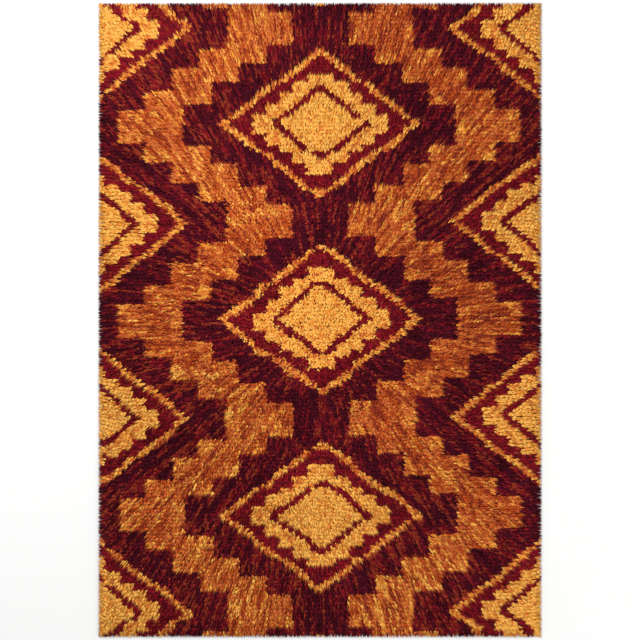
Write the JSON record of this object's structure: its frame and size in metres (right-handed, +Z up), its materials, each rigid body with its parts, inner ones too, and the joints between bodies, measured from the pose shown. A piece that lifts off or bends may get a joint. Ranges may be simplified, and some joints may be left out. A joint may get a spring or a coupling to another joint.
{
  "type": "rya rug",
  "caption": "Flat wool rya rug: a thick, lumpy slab of long cut pile on a woven ground, with locks of yarn that splay from its rim and lie on the floor.",
  "frame": {"origin": "on the floor, under the middle of the rug", "axes": "+X across the rug's width, +Y along its length, +Z up through the pile"},
  "size_m": [1.4, 2, 0.0306],
  "materials": {
    "wool_pile": "long cut wool pile, soft and matt with a low sheen",
    "ground_weave": "firm plain wool weave, matt, with the knots' yarn showing",
    "yarn_gold": "gold wool yarn, cut, twisted, with a low sheen",
    "yarn_amber": "amber wool yarn, cut, twisted, with a low sheen",
    "yarn_orange": "orange wool yarn, cut, twisted, with a low sheen",
    "yarn_burnt_orange": "burnt orange wool yarn, cut, twisted, with a low sheen",
    "yarn_rust": "rust wool yarn, cut, twisted, with a low sheen",
    "yarn_crimson": "crimson wool yarn, cut, twisted, with a low sheen",
    "yarn_wine": "wine red wool yarn, cut, twisted, with a low sheen",
    "yarn_plum": "dark plum wool yarn, cut, twisted, with a low sheen"
  },
  "bodies": {
    "root": {"rug": "wool_pile"}
  },
  "joints": []
}
